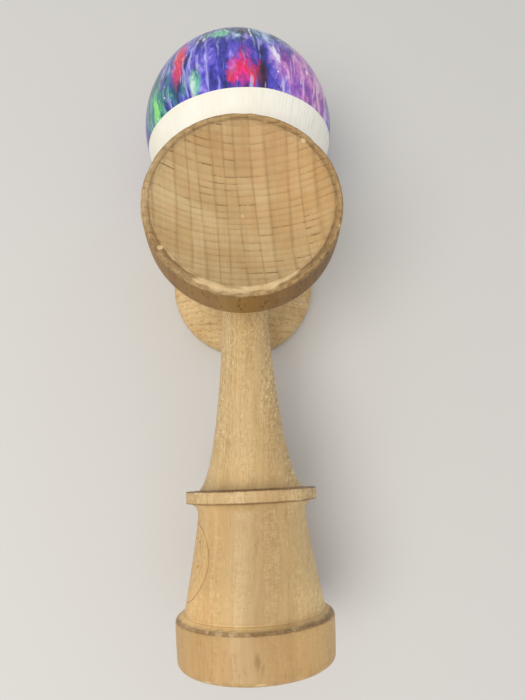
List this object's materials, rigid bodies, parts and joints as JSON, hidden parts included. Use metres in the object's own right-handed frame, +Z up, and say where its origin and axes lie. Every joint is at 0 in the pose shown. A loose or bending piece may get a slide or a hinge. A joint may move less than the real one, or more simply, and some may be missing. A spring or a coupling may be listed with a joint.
{
  "type": "cup and ball toy",
  "caption": "Turned wooden cup and ball toy: a spiked handle with a cup in its base, a cross-piece with a big and a small cup, and a painted ball on the spike.",
  "frame": {"origin": "on the surface that the toy lies on, under the middle of its length and width", "axes": "+Y along the handle from its base towards the ball, +Z up out of the big cup, +X to the right"},
  "size_m": [0.0604, 0.1868, 0.0672],
  "materials": {
    "handle_wood": "bare sanded beech, grain along the handle",
    "cup_wood": "bare sanded beech, end grain in the cups, worn rims",
    "ball_wood": "bare drilled beech inside the hole",
    "white_paint": "satin cream white paint",
    "marbled_paint": "glossy marbled paint in blue, violet, green and pink"
  },
  "bodies": {
    "handle": {"handle": "handle_wood"},
    "cup_crosspiece": {"cup_crosspiece": "cup_wood"},
    "ball": {"ball": "ball_wood", "white_coat": "white_paint", "marbled_coat": "marbled_paint"}
  },
  "joints": [
    {"name": "crosspiece_slide", "type": "slide", "parent": "handle", "child": "cup_crosspiece", "axis": [0, 1, 0], "range_m": [0, 0.072]},
    {"name": "ball_slide", "type": "slide", "parent": "cup_crosspiece", "child": "ball", "axis": [0, 1, 0], "range_m": [0, 0.05]}
  ]
}
